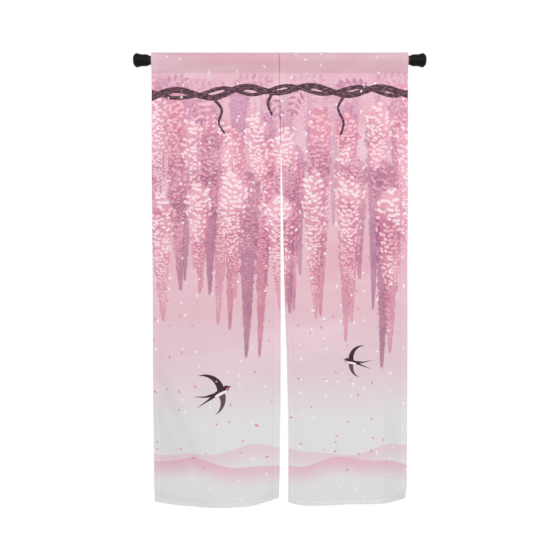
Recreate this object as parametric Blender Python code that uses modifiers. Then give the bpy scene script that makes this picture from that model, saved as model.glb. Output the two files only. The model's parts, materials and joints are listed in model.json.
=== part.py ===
"""A noren: a doorway curtain of two cloth panels, hung by its rod pockets on a tension rod with flared end caps.

Metres, +Z up. The origin is the middle of the left cap's flat end, the rod runs along +X, and the cloth's front faces
-Y. Drops are measured down from the cloth's top fold, and a place across a panel is measured in from its outer edge.
"""

import math
from collections import namedtuple

import bmesh
import bpy
from mathutils import Vector

# Driving sizes
OVERALL_LENGTH = 0.968
CLOTH_WIDTH = 0.850
CLOTH_DROP = 1.500
POCKET_DROP = 0.066
SLIT_START = 0.300
ROD_DIAMETER = 0.0295
CAP_LENGTH = 0.051
CAP_SOCKET_DEPTH = 0.032
CREST_HEIGHT = 0.0255
CREST_RADIUS = 0.003
SHEET = 0.0010
HEM_SHEET = 0.0018
SIDE_HEM = 0.021
BOTTOM_HEM = 0.016
CLEARANCE = 0.0003

# How the cloth sits on the rod
CLOTH_ON_ROD = 0.0004
POCKET_ALLOWANCE = 0.005
HEMS_START = 0.010
HEM_STEP = 0.0015
SEAM_BAND = 0.003
SEAM_TOP_SHIFT = -0.0025
SEAM_LOW_SHIFT = 0.0027

# Fineness of the panels' grids: each band ends at a place and has a number of steps
Band = namedtuple("Band", "end steps")
COLUMN_BANDS = (Band(0.145, 12), Band(0.330, 6), Band(0.404, 5))
ROW_BANDS = (Band(0.400, 14), Band(0.750, 7), Band(1.420, 6))
ARC_STEPS = 5
CREST_STEPS = 3
TURN_STEPS = 48

# The waves grow from nothing at this drop to their full depth at the hem
WAVE_START = 0.300
WAVE_FULL = CLOTH_DROP
FOLD_FADE = 0.100

# A row for each place down a panel's edges. outer is how far the outer edge stands in from the cloth's full width, and
# inner is how far the inner edge has moved from the seam's line, to the right
EdgeRow = namedtuple("EdgeRow", "drop outer inner")
LEFT_EDGES = (
    EdgeRow(0.000, 0.0000, 0.0000),
    EdgeRow(0.300, 0.0006, 0.0000),
    EdgeRow(0.640, 0.0020, 0.0000),
    EdgeRow(1.150, 0.0018, 0.0000),
    EdgeRow(1.320, 0.0028, -0.0025),
    EdgeRow(1.510, 0.0036, -0.0035),
)
RIGHT_EDGES = (
    EdgeRow(0.000, 0.0000, 0.0000),
    EdgeRow(0.300, 0.0004, 0.0000),
    EdgeRow(0.330, 0.0004, 0.0022),
    EdgeRow(0.490, 0.0005, 0.0068),
    EdgeRow(0.690, 0.0016, 0.0107),
    EdgeRow(0.820, 0.0010, 0.0140),
    EdgeRow(0.955, 0.0006, 0.0188),
    EdgeRow(1.090, 0.0005, 0.0225),
    EdgeRow(1.230, 0.0006, 0.0255),
    EdgeRow(1.510, 0.0008, 0.0257),
)

# A row for each place along a panel's hem. drop is the hem's lowest line there and back is how far it stands behind
# the rod's middle
HemRow = namedtuple("HemRow", "across drop back")
LEFT_HEM = (
    HemRow(0.000, 1.5020, 0.030),
    HemRow(0.050, 1.5035, 0.016),
    HemRow(0.110, 1.5055, 0.002),
    HemRow(0.190, 1.5075, -0.012),
    HemRow(0.280, 1.5050, -0.010),
    HemRow(0.340, 1.5025, -0.004),
    HemRow(0.390, 1.5015, 0.009),
    HemRow(0.425, 1.5010, 0.022),
)
RIGHT_HEM = (
    HemRow(0.000, 1.4990, 0.018),
    HemRow(0.032, 1.4992, 0.016),
    HemRow(0.097, 1.4995, 0.012),
    HemRow(0.215, 1.5000, 0.005),
    HemRow(0.343, 1.5020, -0.003),
    HemRow(0.397, 1.5010, 0.006),
    HemRow(0.425, 1.4985, 0.018),
)

# A row for each soft trough, from its upper end to its lower one. A negative depth is a ridge
Fold = namedtuple("Fold", "top_across top_drop low_across low_drop half_width depth")
LEFT_FOLDS = (
    Fold(0.033, 1.121, 0.133, 1.363, 0.034, 0.006),
    Fold(0.085, 1.100, 0.195, 1.340, 0.045, -0.003),
    Fold(0.010, 1.495, 0.185, 1.515, 0.040, 0.006),
)
RIGHT_FOLDS = (
    Fold(0.056, 1.200, 0.056, 1.480, 0.028, 0.005),
    Fold(0.082, 0.880, 0.074, 1.040, 0.048, 0.004),
    Fold(0.205, 1.100, 0.198, 1.280, 0.036, 0.002),
)

# A row for each corner that curls back. reach is measured along the hem and up the edge together
Curl = namedtuple("Curl", "inner_side reach back lift inward power")
LEFT_CURLS = (
    Curl(True, 0.105, 0.032, 0.016, 0.003, 1.35),
    Curl(False, 0.080, 0.006, 0.001, 0.000, 1.50),
)
RIGHT_CURLS = (
    Curl(False, 0.080, 0.042, 0.010, 0.001, 1.50),
    Curl(True, 0.050, 0.006, 0.002, 0.000, 1.50),
)

# The cap's outer side, from its flat end to its mouth
CapRow = namedtuple("CapRow", "along radius")
CAP_FLAT_RADIUS = 0.0150
CAP_FLARE_RADIUS = 0.0230
CAP_RIM = 0.0080
CAP_RIM_STEPS = 6
CAP_SIDE = (
    CapRow(0.0120, 0.0228),
    CapRow(0.0160, 0.0218),
    CapRow(0.0200, 0.0206),
    CapRow(0.0240, 0.0197),
    CapRow(0.0280, 0.0193),
    CapRow(0.0400, 0.0193),
    CapRow(0.0440, 0.0187),
    CapRow(0.0480, 0.0172),
    CapRow(0.0510, 0.0160),
)

MIDDLE_X = OVERALL_LENGTH / 2
ROD_RADIUS = ROD_DIAMETER / 2
LAYER_OFFSET = (SHEET + CLEARANCE) / 2
STITCH_Z = CREST_HEIGHT - POCKET_DROP


def clear_scene():
    for found in list(bpy.data.objects):
        bpy.data.objects.remove(found, do_unlink=True)


def new_collection(name):
    collection = bpy.data.collections.new(name)
    bpy.context.scene.collection.children.link(collection)
    return collection


def new_material(name, colour, roughness, metallic=0.0):
    material = bpy.data.materials.new(name)
    material.use_nodes = True
    shader = material.node_tree.nodes["Principled BSDF"]
    shader.inputs["Base Color"].default_value = (*colour, 1.0)
    shader.inputs["Roughness"].default_value = roughness
    shader.inputs["Metallic"].default_value = metallic
    return material


def new_object(name, mesh, collection, material=None):
    made = bpy.data.objects.new(name, mesh)
    collection.objects.link(made)
    if material:
        mesh.materials.append(material)
    return made


def smooth_step(low, high, value):
    share = min(max((value - low) / (high - low), 0.0), 1.0)
    return share * share * (3.0 - 2.0 * share)


def smooth_curve(rows, key, column, at):
    """The column's value at a place, on one smooth line through the table's rows."""
    places = [getattr(row, key) for row in rows]
    values = [getattr(row, column) for row in rows]
    at = min(max(at, places[0]), places[-1])
    last = max(index for index in range(len(rows) - 1) if places[index] <= at)

    def slope(index):
        before = max(index - 1, 0)
        after = min(index + 1, len(rows) - 1)
        return (values[after] - values[before]) / (places[after] - places[before])

    span = places[last + 1] - places[last]
    share = (at - places[last]) / span
    rise = values[last + 1] - values[last]
    start = slope(last) * span
    finish = slope(last + 1) * span
    return values[last] + share * (
        start + share * (3 * rise - 2 * start - finish + share * (start + finish - 2 * rise))
    )


def seam_shift(drop):
    """How far right of the middle the seam between the panels lies."""
    share = min(drop / SLIT_START, 1.0)
    return SEAM_TOP_SHIFT + (SEAM_LOW_SHIFT - SEAM_TOP_SHIFT) * share


class Panel:
    """One cloth panel's shape: where each point of its sheet hangs."""

    def __init__(self, side, edges, hem, folds, curls):
        self.side = side
        self.toward_middle = 1.0 if side == "left" else -1.0
        self.edges = edges
        self.hem = hem
        self.folds = folds
        self.curls = curls

    def ends(self, drop):
        """(x of the outer edge, x of the inner edge) at a drop."""
        outer = smooth_curve(self.edges, "drop", "outer", drop)
        opened = 0.0
        if drop > SLIT_START:
            opened = smooth_curve(self.edges, "drop", "inner", drop)
        seam = MIDDLE_X + seam_shift(drop) - self.toward_middle * CLEARANCE / 2
        return MIDDLE_X - self.toward_middle * (CLOTH_WIDTH / 2 - outer), seam + opened

    def fold_depth(self, across, drop):
        depth = 0.0
        for fold in self.folds:
            top = Vector((fold.top_across, fold.top_drop))
            line = Vector((fold.low_across, fold.low_drop)) - top
            place = Vector((across, drop)) - top
            along = place.dot(line.normalized())
            beside = (place - line.normalized() * along).length
            beyond = max(0.0, -along, along - line.length)
            away = math.hypot(beside, beyond * fold.half_width / FOLD_FADE) / fold.half_width
            if away < 1.0:
                depth += fold.depth * 0.5 * (1.0 + math.cos(math.pi * away))
        return depth

    def hanging_point(self, share, fall):
        """A point of the hanging sheet: share runs from the outer edge to the inner one, and fall from the stitch
        line (0) to the hem's edge (1)."""
        nominal = share * CLOTH_WIDTH / 2
        hem_drop = smooth_curve(self.hem, "across", "drop", nominal)
        drop = POCKET_DROP + (hem_drop - POCKET_DROP) * fall
        outer_x, inner_x = self.ends(drop)
        x = outer_x + (inner_x - outer_x) * share
        across = abs(x - outer_x)
        back = smooth_curve(self.hem, "across", "back", nominal) * smooth_step(WAVE_START, WAVE_FULL, drop)
        back += self.fold_depth(across, drop) * smooth_step(POCKET_DROP, WAVE_START, drop)
        for curl in self.curls:
            edge_gap = abs(x - (inner_x if curl.inner_side else outer_x))
            turned = max(0.0, 1.0 - (edge_gap + hem_drop - drop) / curl.reach) ** curl.power
            back += curl.back * turned
            drop -= curl.lift * turned
            inward = -self.toward_middle if curl.inner_side else self.toward_middle
            x += inward * curl.inward * turned
        return Vector((x, back - LAYER_OFFSET, CREST_HEIGHT - drop))


def shares_across():
    """Shares of the panel's width for the grid's columns, with a close pair at each side hem's line."""
    width = CLOTH_WIDTH / 2
    places = [0.0, SIDE_HEM - HEM_STEP]
    start = SIDE_HEM + HEM_STEP
    for band in COLUMN_BANDS:
        end = min(band.end, width - SIDE_HEM - HEM_STEP)
        places += [start + (end - start) * step / band.steps for step in range(band.steps)]
        start = end
    places += [start, width - SIDE_HEM + HEM_STEP, width]
    return [place / width for place in places]


def falls_down():
    """Shares of the hanging length for the grid's rows, from the hem's edge (1) up to the stitch line (0)."""
    length = CLOTH_DROP - POCKET_DROP
    heights = [0.0, BOTTOM_HEM - HEM_STEP]
    start = BOTTOM_HEM + HEM_STEP
    for band in ROW_BANDS:
        end = min(band.end, length - HEMS_START - HEM_STEP)
        heights += [start + (end - start) * step / band.steps for step in range(band.steps)]
        start = end
    heights += [start, length - HEMS_START + HEM_STEP, length]
    return [1.0 - height / length for height in heights]


def pocket_path():
    """(y, z) of the sheet's middle from just above the stitch line, up the rod's front, over the top fold and down the
    back past the stitch line."""
    on_rod = ROD_RADIUS + CLOTH_ON_ROD + SHEET / 2
    crest_middle = CREST_HEIGHT - SHEET / 2 - CREST_RADIUS
    stitch_away = math.hypot(LAYER_OFFSET, STITCH_Z)
    leave = math.atan2(LAYER_OFFSET, -STITCH_Z) + math.acos(on_rod / stitch_away)
    slant = math.asin((on_rod - CREST_RADIUS) / crest_middle)
    reach = math.pi / 2 + slant
    front = []
    for step in range(ARC_STEPS + 1):
        turn = leave + (reach - leave) * step / ARC_STEPS
        front.append((-on_rod * math.sin(turn), -on_rod * math.cos(turn)))
    for step in range(CREST_STEPS + 1):
        turn = reach + (math.pi - reach) * step / CREST_STEPS
        front.append((-CREST_RADIUS * math.sin(turn), crest_middle - CREST_RADIUS * math.cos(turn)))
    back = [(-y, z) for y, z in reversed(front[:-1])]
    return front + back + [(LAYER_OFFSET, STITCH_Z), (LAYER_OFFSET, STITCH_Z - POCKET_ALLOWANCE)]


def sheet_mesh(panel):
    """The panel's sheet as one open surface, moved from a flat grid to where it hangs. Returns the mesh, and the
    numbers of the points in its hems."""
    shares = shares_across()
    falls = falls_down()
    path = pocket_path()
    rows = len(falls) + len(path)
    shape = bmesh.new()
    bmesh.ops.create_grid(
        shape, x_segments=len(shares) - 1, y_segments=rows - 1, size=0.5
    )
    hems = []
    for number, point in enumerate(shape.verts):
        column = round((point.co.x + 0.5) * (len(shares) - 1))
        row = round((point.co.y + 0.5) * (rows - 1))
        share = shares[column]
        if row < len(falls):
            point.co = panel.hanging_point(share, falls[row])
            at_edge = column < 2 or column > len(shares) - 3
            if row < 2 or (at_edge and row < len(falls) - 2):
                hems.append(number)
        else:
            y, z = path[row - len(falls)]
            outer_x, inner_x = panel.ends(CREST_HEIGHT - z)
            point.co = (outer_x + (inner_x - outer_x) * share, y, z)
    mesh = bpy.data.meshes.new("panel_" + panel.side)
    shape.to_mesh(mesh)
    shape.free()
    return mesh, hems


def make_panel(panel, parts, cutters, material):
    """The sheet with its thickness, doubled at the hems, and with the pocket's back layer sewn to the front one."""
    mesh, hems = sheet_mesh(panel)
    cloth = new_object("panel_" + panel.side, mesh, parts, material)
    cloth.vertex_groups.new(name="hems").add(hems, 1.0, "REPLACE")
    shell = cloth.modifiers.new("thickness", "SOLIDIFY")
    shell.thickness = HEM_SHEET
    shell.offset = 0.0
    shell.use_even_offset = True
    shell.vertex_group = "hems"
    shell.thickness_vertex_group = SHEET / HEM_SHEET
    outer_x, inner_x = panel.ends(POCKET_DROP)
    bpy.ops.mesh.primitive_cube_add(size=1.0, location=((outer_x + inner_x) / 2, 0.0, STITCH_Z))
    band = bpy.context.object
    band.name = "pocket_seam_" + panel.side
    band.scale = (abs(inner_x - outer_x) - 2 * SHEET, 2 * LAYER_OFFSET + SHEET / 2, SEAM_BAND)
    for holder in list(band.users_collection):
        holder.objects.unlink(band)
    cutters.objects.link(band)
    band.hide_render = True
    band.display_type = "WIRE"
    sewn = cloth.modifiers.new("pocket seam", "BOOLEAN")
    sewn.operation = "UNION"
    sewn.object = band
    return cloth


def make_rod(parts, material):
    length = OVERALL_LENGTH - 2 * (CAP_LENGTH - CAP_SOCKET_DEPTH + CLEARANCE)
    bpy.ops.mesh.primitive_cylinder_add(
        vertices=TURN_STEPS,
        radius=ROD_RADIUS,
        depth=length,
        location=(MIDDLE_X, 0.0, 0.0),
        rotation=(0.0, math.pi / 2, 0.0),
    )
    rod = bpy.context.object
    rod.name = "rod"
    for holder in list(rod.users_collection):
        holder.objects.unlink(rod)
    parts.objects.link(rod)
    rod.data.materials.append(material)
    rod.data.shade_smooth()
    rod.data.set_sharp_from_angle(angle=math.radians(40))
    return rod


def cap_profile():
    """(radius, height) down the cap's outer side, from the middle of its flat end to its mouth, and up its socket."""
    profile = [(0.0, 0.0)]
    for step in range(CAP_RIM_STEPS + 1):
        turn = math.pi / 2 * step / CAP_RIM_STEPS
        out = CAP_FLAT_RADIUS + (CAP_FLARE_RADIUS - CAP_FLAT_RADIUS) * math.sin(turn)
        profile.append((out, -CAP_RIM * (1.0 - math.cos(turn))))
    profile += [(row.radius, -row.along) for row in CAP_SIDE]
    socket = ROD_RADIUS + CLEARANCE
    profile.append((socket, -CAP_LENGTH))
    profile.append((socket, CAP_SOCKET_DEPTH - CAP_LENGTH))
    profile.append((0.0, CAP_SOCKET_DEPTH - CAP_LENGTH))
    return profile


def make_cap(name, x, turn, parts, material):
    mesh = bpy.data.meshes.new(name)
    shape = bmesh.new()
    points = [shape.verts.new((radius, 0.0, height)) for radius, height in cap_profile()]
    for first, second in zip(points, points[1:]):
        shape.edges.new((first, second))
    shape.to_mesh(mesh)
    shape.free()
    cap = new_object(name, mesh, parts, material)
    cap.location = (x, 0.0, 0.0)
    cap.rotation_euler = (0.0, turn, 0.0)
    turned = cap.modifiers.new("turned", "SCREW")
    turned.axis = "Z"
    turned.steps = TURN_STEPS
    turned.render_steps = TURN_STEPS
    turned.use_merge_vertices = True
    turned.merge_threshold = 0.0001
    turned.use_smooth_shade = True
    return cap


def main():
    clear_scene()
    parts = new_collection("noren_curtain")
    cutters = new_collection("joining_pieces")
    pink_cloth = new_material("printed cloth", (0.80, 0.50, 0.58), 0.85)
    black_rod = new_material("black painted rod", (0.020, 0.018, 0.018), 0.35)
    black_cap = new_material("black rubber cap", (0.022, 0.020, 0.019), 0.50)
    left = Panel("left", LEFT_EDGES, LEFT_HEM, LEFT_FOLDS, LEFT_CURLS)
    right = Panel("right", RIGHT_EDGES, RIGHT_HEM, RIGHT_FOLDS, RIGHT_CURLS)
    make_panel(left, parts, cutters, pink_cloth)
    make_panel(right, parts, cutters, pink_cloth)
    make_rod(parts, black_rod)
    make_cap("cap_left", 0.0, -math.pi / 2, parts, black_cap)
    make_cap("cap_right", OVERALL_LENGTH, math.pi / 2, parts, black_cap)


main()
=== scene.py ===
"""Dresses the noren: printed cloth panels with their hems, folds and stitches, the rod, the rubber end caps,
and the light and camera.

Metres, in the CAD's frame: +X along the rod, +Z up, and the cloth's printed front faces -Y. A drop is
measured down from the cloth's top fold, and a place across a panel is measured in from its outer edge.
"""

import json
import math
from collections import namedtuple

import bpy
import numpy as np
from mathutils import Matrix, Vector

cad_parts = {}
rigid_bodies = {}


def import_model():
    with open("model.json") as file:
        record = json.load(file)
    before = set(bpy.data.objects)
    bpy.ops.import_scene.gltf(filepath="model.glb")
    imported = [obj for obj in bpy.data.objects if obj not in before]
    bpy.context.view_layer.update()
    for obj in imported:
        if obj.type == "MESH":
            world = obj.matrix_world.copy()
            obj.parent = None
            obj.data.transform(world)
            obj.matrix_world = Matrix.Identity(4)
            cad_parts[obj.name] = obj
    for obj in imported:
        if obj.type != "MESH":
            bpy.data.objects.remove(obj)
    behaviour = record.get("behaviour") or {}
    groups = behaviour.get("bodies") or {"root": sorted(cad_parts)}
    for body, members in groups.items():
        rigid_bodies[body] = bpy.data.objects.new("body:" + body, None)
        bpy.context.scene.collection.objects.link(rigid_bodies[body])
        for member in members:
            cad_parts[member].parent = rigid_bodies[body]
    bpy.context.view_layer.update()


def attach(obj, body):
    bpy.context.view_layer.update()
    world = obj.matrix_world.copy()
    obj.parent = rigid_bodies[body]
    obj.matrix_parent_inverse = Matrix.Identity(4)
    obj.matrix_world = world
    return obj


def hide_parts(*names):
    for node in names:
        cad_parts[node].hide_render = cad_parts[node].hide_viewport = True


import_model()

# The sizes that place the cloth, as in the part's source
OVERALL_LENGTH = 0.968
CLOTH_WIDTH = 0.850
CLOTH_DROP = 1.500
POCKET_DROP = 0.066
SLIT_START = 0.300
ROD_RADIUS = 0.01475
CREST_HEIGHT = 0.0255
CREST_RADIUS = 0.003
SHEET = 0.0010
CLEARANCE = 0.0003
CLOTH_ON_ROD = 0.0004
POCKET_ALLOWANCE = 0.005
SIDE_HEM = 0.021
BOTTOM_HEM = 0.016
SEAM_TOP_SHIFT = -0.0025
SEAM_LOW_SHIFT = 0.0027
WAVE_START = 0.300
WAVE_FULL = CLOTH_DROP
FOLD_FADE = 0.100
MIDDLE_X = OVERALL_LENGTH / 2
PANEL_WIDTH = CLOTH_WIDTH / 2
LAYER_OFFSET = (SHEET + CLEARANCE) / 2
STITCH_Z = CREST_HEIGHT - POCKET_DROP
HANG_LENGTH = CLOTH_DROP - POCKET_DROP

# The cloth as it is sewn
FACE_OUT = 0.00025
CLOTH_THICK = 0.00045
HEM_THICK = 0.00125
POCKET_HEM_THICK = 0.00080
EDGE_THICK = 0.00050
HEM_MARGIN = 0.0005
SEAM_GAP = 0.00006

# Its ripples: how deep and long they are, how much longer down the cloth, and where they start and are full
RIPPLES = (
    (0.0013, 0.150, 4.0, 0.07, 0.55),
    (0.00045, 0.062, 2.2, 0.08, 0.30),
    (0.00012, 0.026, 1.2, -0.07, -0.05),
)


def table(fields, *rows):
    """Rows of values that are read by their fields' names."""
    named = namedtuple("Row", fields)
    return [named(*row) for row in rows]


# How far in each panel's outer edge lies, and how far the slit's edge shifts along X, at a drop
LEFT_EDGES = table(
    "drop outer inner",
    (0.000, 0.0000, 0.0000), (0.300, 0.0006, 0.0000), (0.640, 0.0020, 0.0000), (1.150, 0.0018, 0.0000),
    (1.320, 0.0028, -0.0025), (1.510, 0.0036, -0.0035),
)
RIGHT_EDGES = table(
    "drop outer inner",
    (0.000, 0.0000, 0.0000), (0.300, 0.0004, 0.0000), (0.330, 0.0004, 0.0022), (0.490, 0.0005, 0.0068),
    (0.690, 0.0016, 0.0107), (0.820, 0.0010, 0.0140), (0.955, 0.0006, 0.0188), (1.090, 0.0005, 0.0225),
    (1.230, 0.0006, 0.0255), (1.510, 0.0008, 0.0257),
)

# How low each panel's bottom edge hangs, and how far back it stands
LEFT_HEM = table(
    "across drop back",
    (0.000, 1.5020, 0.030), (0.050, 1.5035, 0.016), (0.110, 1.5055, 0.002), (0.190, 1.5075, -0.012),
    (0.280, 1.5050, -0.010), (0.340, 1.5025, -0.004), (0.390, 1.5015, 0.009), (0.425, 1.5010, 0.022),
)
RIGHT_HEM = table(
    "across drop back",
    (0.000, 1.4990, 0.018), (0.032, 1.4992, 0.016), (0.097, 1.4995, 0.012), (0.215, 1.5000, 0.005),
    (0.343, 1.5020, -0.003), (0.397, 1.5010, 0.006), (0.425, 1.4985, 0.018),
)

# The soft folds, each from its upper end to its lower one, and the corners that curl back
LEFT_FOLDS = table(
    "top_across top_drop low_across low_drop half_width depth",
    (0.033, 1.121, 0.133, 1.363, 0.034, 0.006),
    (0.085, 1.100, 0.195, 1.340, 0.045, -0.003),
    (0.010, 1.495, 0.185, 1.515, 0.040, 0.006),
)
RIGHT_FOLDS = table(
    "top_across top_drop low_across low_drop half_width depth",
    (0.056, 1.200, 0.056, 1.480, 0.028, 0.005),
    (0.082, 0.880, 0.074, 1.040, 0.048, 0.004),
    (0.205, 1.100, 0.198, 1.280, 0.036, 0.002),
)
LEFT_CURLS = table(
    "inner_side reach back lift inward power",
    (True, 0.105, 0.032, 0.010, 0.003, 1.35),
    (False, 0.080, 0.006, 0.001, 0.000, 1.50),
)
RIGHT_CURLS = table(
    "inner_side reach back lift inward power",
    (False, 0.072, 0.038, 0.006, 0.000, 1.50),
    (True, 0.050, 0.006, 0.002, 0.000, 1.50),
)


def dye(red, green, blue, light=0.92):
    """The cloth colour that shows as a screen colour of 0 to 255 under this scene's light."""
    parts = []
    for part in (red, green, blue):
        part = part / 255
        linear = part / 12.92 if part <= 0.04045 else ((part + 0.055) / 1.055) ** 2.4
        parts.append(min(linear / light, 1.0))
    return (*parts, 1.0)


# The print's colours
PINK_GROUND = dye(229, 187, 198)
MIDDLE_GROUND = dye(224, 200, 207)
PALE_GROUND = dye(224, 223, 223)
PALE_DRIFT = dye(238, 212, 221)
ROSE_DRIFT = dye(226, 162, 180)
BARK = dye(74, 50, 60)
BARK_LIGHT = dye(132, 96, 110)
LEAF = dye(230, 182, 199)
LEAF_DEEP = dye(196, 136, 162)
LEAF_EDGE = dye(240, 206, 217)
INK = dye(62, 44, 54)
INK_LIGHT = dye(104, 76, 92)
WHITE_FEATHER = dye(240, 234, 234)
THROAT = dye(214, 116, 132)
HILL = dye(226, 170, 188)
WHITE_PETAL = dye(248, 234, 239)
ROSE_PETAL = dye(226, 146, 170)
WRONG_SIDE = dye(226, 220, 222)

# A row for each rank of hanging blossom, from the farthest to the nearest. pitch is the space from one raceme
# to the next, spread is how far their upper ends differ, and veil is how much mist lies over them
RANKS = table(
    "pitch shift top spread length half_width floret veil stem pale rich deep",
    (0.074, 0.031, -0.12, 0.24, 0.50, 0.037, 0.0150, 0.46, False,
     (218, 174, 196), (194, 140, 170), (168, 112, 148)),
    (0.081, 0.052, -0.14, 0.22, 0.56, 0.041, 0.0155, 0.30, False,
     (242, 206, 217), (228, 168, 187), (198, 130, 158)),
    (0.088, 0.015, 0.130, 0.30, 0.52, 0.043, 0.0165, 0.14, False,
     (218, 166, 192), (186, 122, 157), (148, 92, 130)),
    (0.095, 0.061, 0.135, 0.19, 0.58, 0.047, 0.0180, 0.00, False,
     (242, 192, 203), (229, 148, 167), (182, 102, 132)),
    (0.104, 0.024, 0.150, 0.22, 0.54, 0.050, 0.0190, 0.00, True,
     (246, 218, 226), (237, 178, 192), (198, 120, 147)),
    (0.116, 0.083, 0.290, 0.22, 0.54, 0.050, 0.0180, 0.00, False,
     (232, 176, 193), (204, 132, 158), (150, 90, 124)),
    (0.128, 0.047, 0.330, 0.24, 0.50, 0.054, 0.0205, 0.00, True,
     (247, 222, 229), (239, 182, 196), (204, 122, 148)),
)
# The first rank, counted from 0, that hangs in front of the vine
VINE_RANK = 5


# The cloth's shape
def smooth_step(low, high, value):
    share = np.clip((value - low) / (high - low), 0.0, 1.0)
    return share * share * (3.0 - 2.0 * share)


def smooth_curve(rows, column, at):
    """A table's column at each place of its first column, on one smooth line through its rows."""
    table = np.array(rows)
    places = table[:, 0]
    values = table[:, rows[0]._fields.index(column)]
    before = np.maximum(np.arange(len(rows)) - 1, 0)
    after = np.minimum(np.arange(len(rows)) + 1, len(rows) - 1)
    slopes = (values[after] - values[before]) / (places[after] - places[before])
    at = np.clip(at, places[0], places[-1])
    last = np.clip(np.searchsorted(places, at, side="right") - 1, 0, len(rows) - 2)
    span = places[last + 1] - places[last]
    share = (at - places[last]) / span
    rise = values[last + 1] - values[last]
    start = slopes[last] * span
    finish = slopes[last + 1] * span
    return values[last] + share * (
        start + share * (3 * rise - 2 * start - finish + share * (start + finish - 2 * rise))
    )


def ripples(across, down, wave, stretch, seed, count=14):
    """Soft, uneven waves of about one length, from sines laid across each other: mostly between -1 and 1."""
    random = np.random.default_rng(seed)
    total = np.zeros_like(across)
    for _ in range(count):
        turn = random.uniform(0.0, 2 * math.pi)
        size = wave * random.uniform(0.75, 1.35)
        phase = random.uniform(0.0, 2 * math.pi)
        along = across * math.cos(turn) + down * math.sin(turn) / stretch
        total += np.sin(2 * math.pi * along / size + phase)
    return total / math.sqrt(count)


def unit(vectors):
    return vectors / np.linalg.norm(vectors, axis=-1, keepdims=True)


def from_line(across, down, start, way, length):
    """How far each place lies along a line from its start, beside it, and beyond its ends."""
    right = across - start[0]
    below = down - start[1]
    along = right * way[0] + below * way[1]
    beyond = np.maximum(np.maximum(-along, along - length), 0.0)
    return along, np.abs(right * way[1] - below * way[0]), beyond


def hem_relief(gap, hem, line):
    """A hem's relief by the distance from its edge: full, but round there and pulled in at its stitches."""
    full = 0.00030 * np.sin(math.pi * np.clip(gap / hem, 0.0, 1.0)) ** 0.8
    sewn = 0.00026 * np.exp(-(((gap - hem) / line) ** 2))
    return full - sewn - 0.00042 * np.clip(1.0 - gap / 0.0018, 0.0, 1.0) ** 2


def pocket_outline():
    """(y, z) of the pocket's outer face, from the stitch line up the front and down the back."""
    on_rod = ROD_RADIUS + CLOTH_ON_ROD + SHEET / 2 + FACE_OUT
    crest = CREST_RADIUS + FACE_OUT
    crest_middle = CREST_HEIGHT - SHEET / 2 - CREST_RADIUS
    offset = LAYER_OFFSET + FACE_OUT
    stitch_away = math.hypot(offset, STITCH_Z)
    leave = math.atan2(offset, -STITCH_Z) + math.acos(on_rod / stitch_away)
    reach = math.pi / 2 + math.asin((on_rod - crest) / crest_middle)
    front = [(-offset, STITCH_Z)]
    for turn in np.linspace(leave, reach, 40):
        front.append((-on_rod * math.sin(turn), -on_rod * math.cos(turn)))
    for turn in np.linspace(reach, math.pi, 16):
        front.append((-crest * math.sin(turn), crest_middle - crest * math.cos(turn)))
    back = [(-y, z) for y, z in reversed(front[:-1])]
    return np.array(front + back + [(offset, STITCH_Z - POCKET_ALLOWANCE)])


POCKET = pocket_outline()
POCKET_ALONG = np.concatenate([[0.0], np.cumsum(np.hypot(*np.diff(POCKET, axis=0).T))])
POCKET_FRONT = float(POCKET_ALONG[np.argmax(POCKET[:, 1])])


def places_across():
    """Places of the grid's columns, in from a panel's outer edge: close at the hems and even between."""
    near_edge = [0.0, 0.0008, 0.0018, 0.0032, 0.0055, 0.0085, 0.0120, 0.0155, 0.0180, 0.0197]
    near_edge += [SIDE_HEM, 0.0223, 0.0245, 0.0280]
    middle = np.linspace(near_edge[-1], PANEL_WIDTH - near_edge[-1], 91)[1:-1]
    return np.array(near_edge + list(middle) + [PANEL_WIDTH - place for place in reversed(near_edge)])


def heights_up():
    """Heights of the grid's rows above the hem's edge, up to the stitch line."""
    near_hem = [0.0, 0.0008, 0.0018, 0.0035, 0.0065, 0.0100, 0.0132, 0.0148]
    near_hem += [BOTTOM_HEM, 0.0173, 0.0195, 0.0230]
    near_pocket = [0.0120, 0.0090, 0.0062, 0.0040, 0.0022, 0.0010, 0.0]
    middle = np.linspace(near_hem[-1], HANG_LENGTH - near_pocket[0], 312)[1:-1]
    return np.array(near_hem + list(middle) + [HANG_LENGTH - place for place in near_pocket])


def places_round_pocket():
    """Lengths of cloth up from the stitch line, round the pocket to its loose end at the back."""
    whole = POCKET_ALONG[-1]
    close = [0.0010, 0.0022, 0.0040, 0.0062]
    last = whole - POCKET_ALLOWANCE
    middle = np.linspace(0.0085, last - 0.0085, 58)
    near_end = [last - place for place in reversed(close)] + [last, last + 0.0025, whole]
    return np.array(close + list(middle) + near_end)


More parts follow.
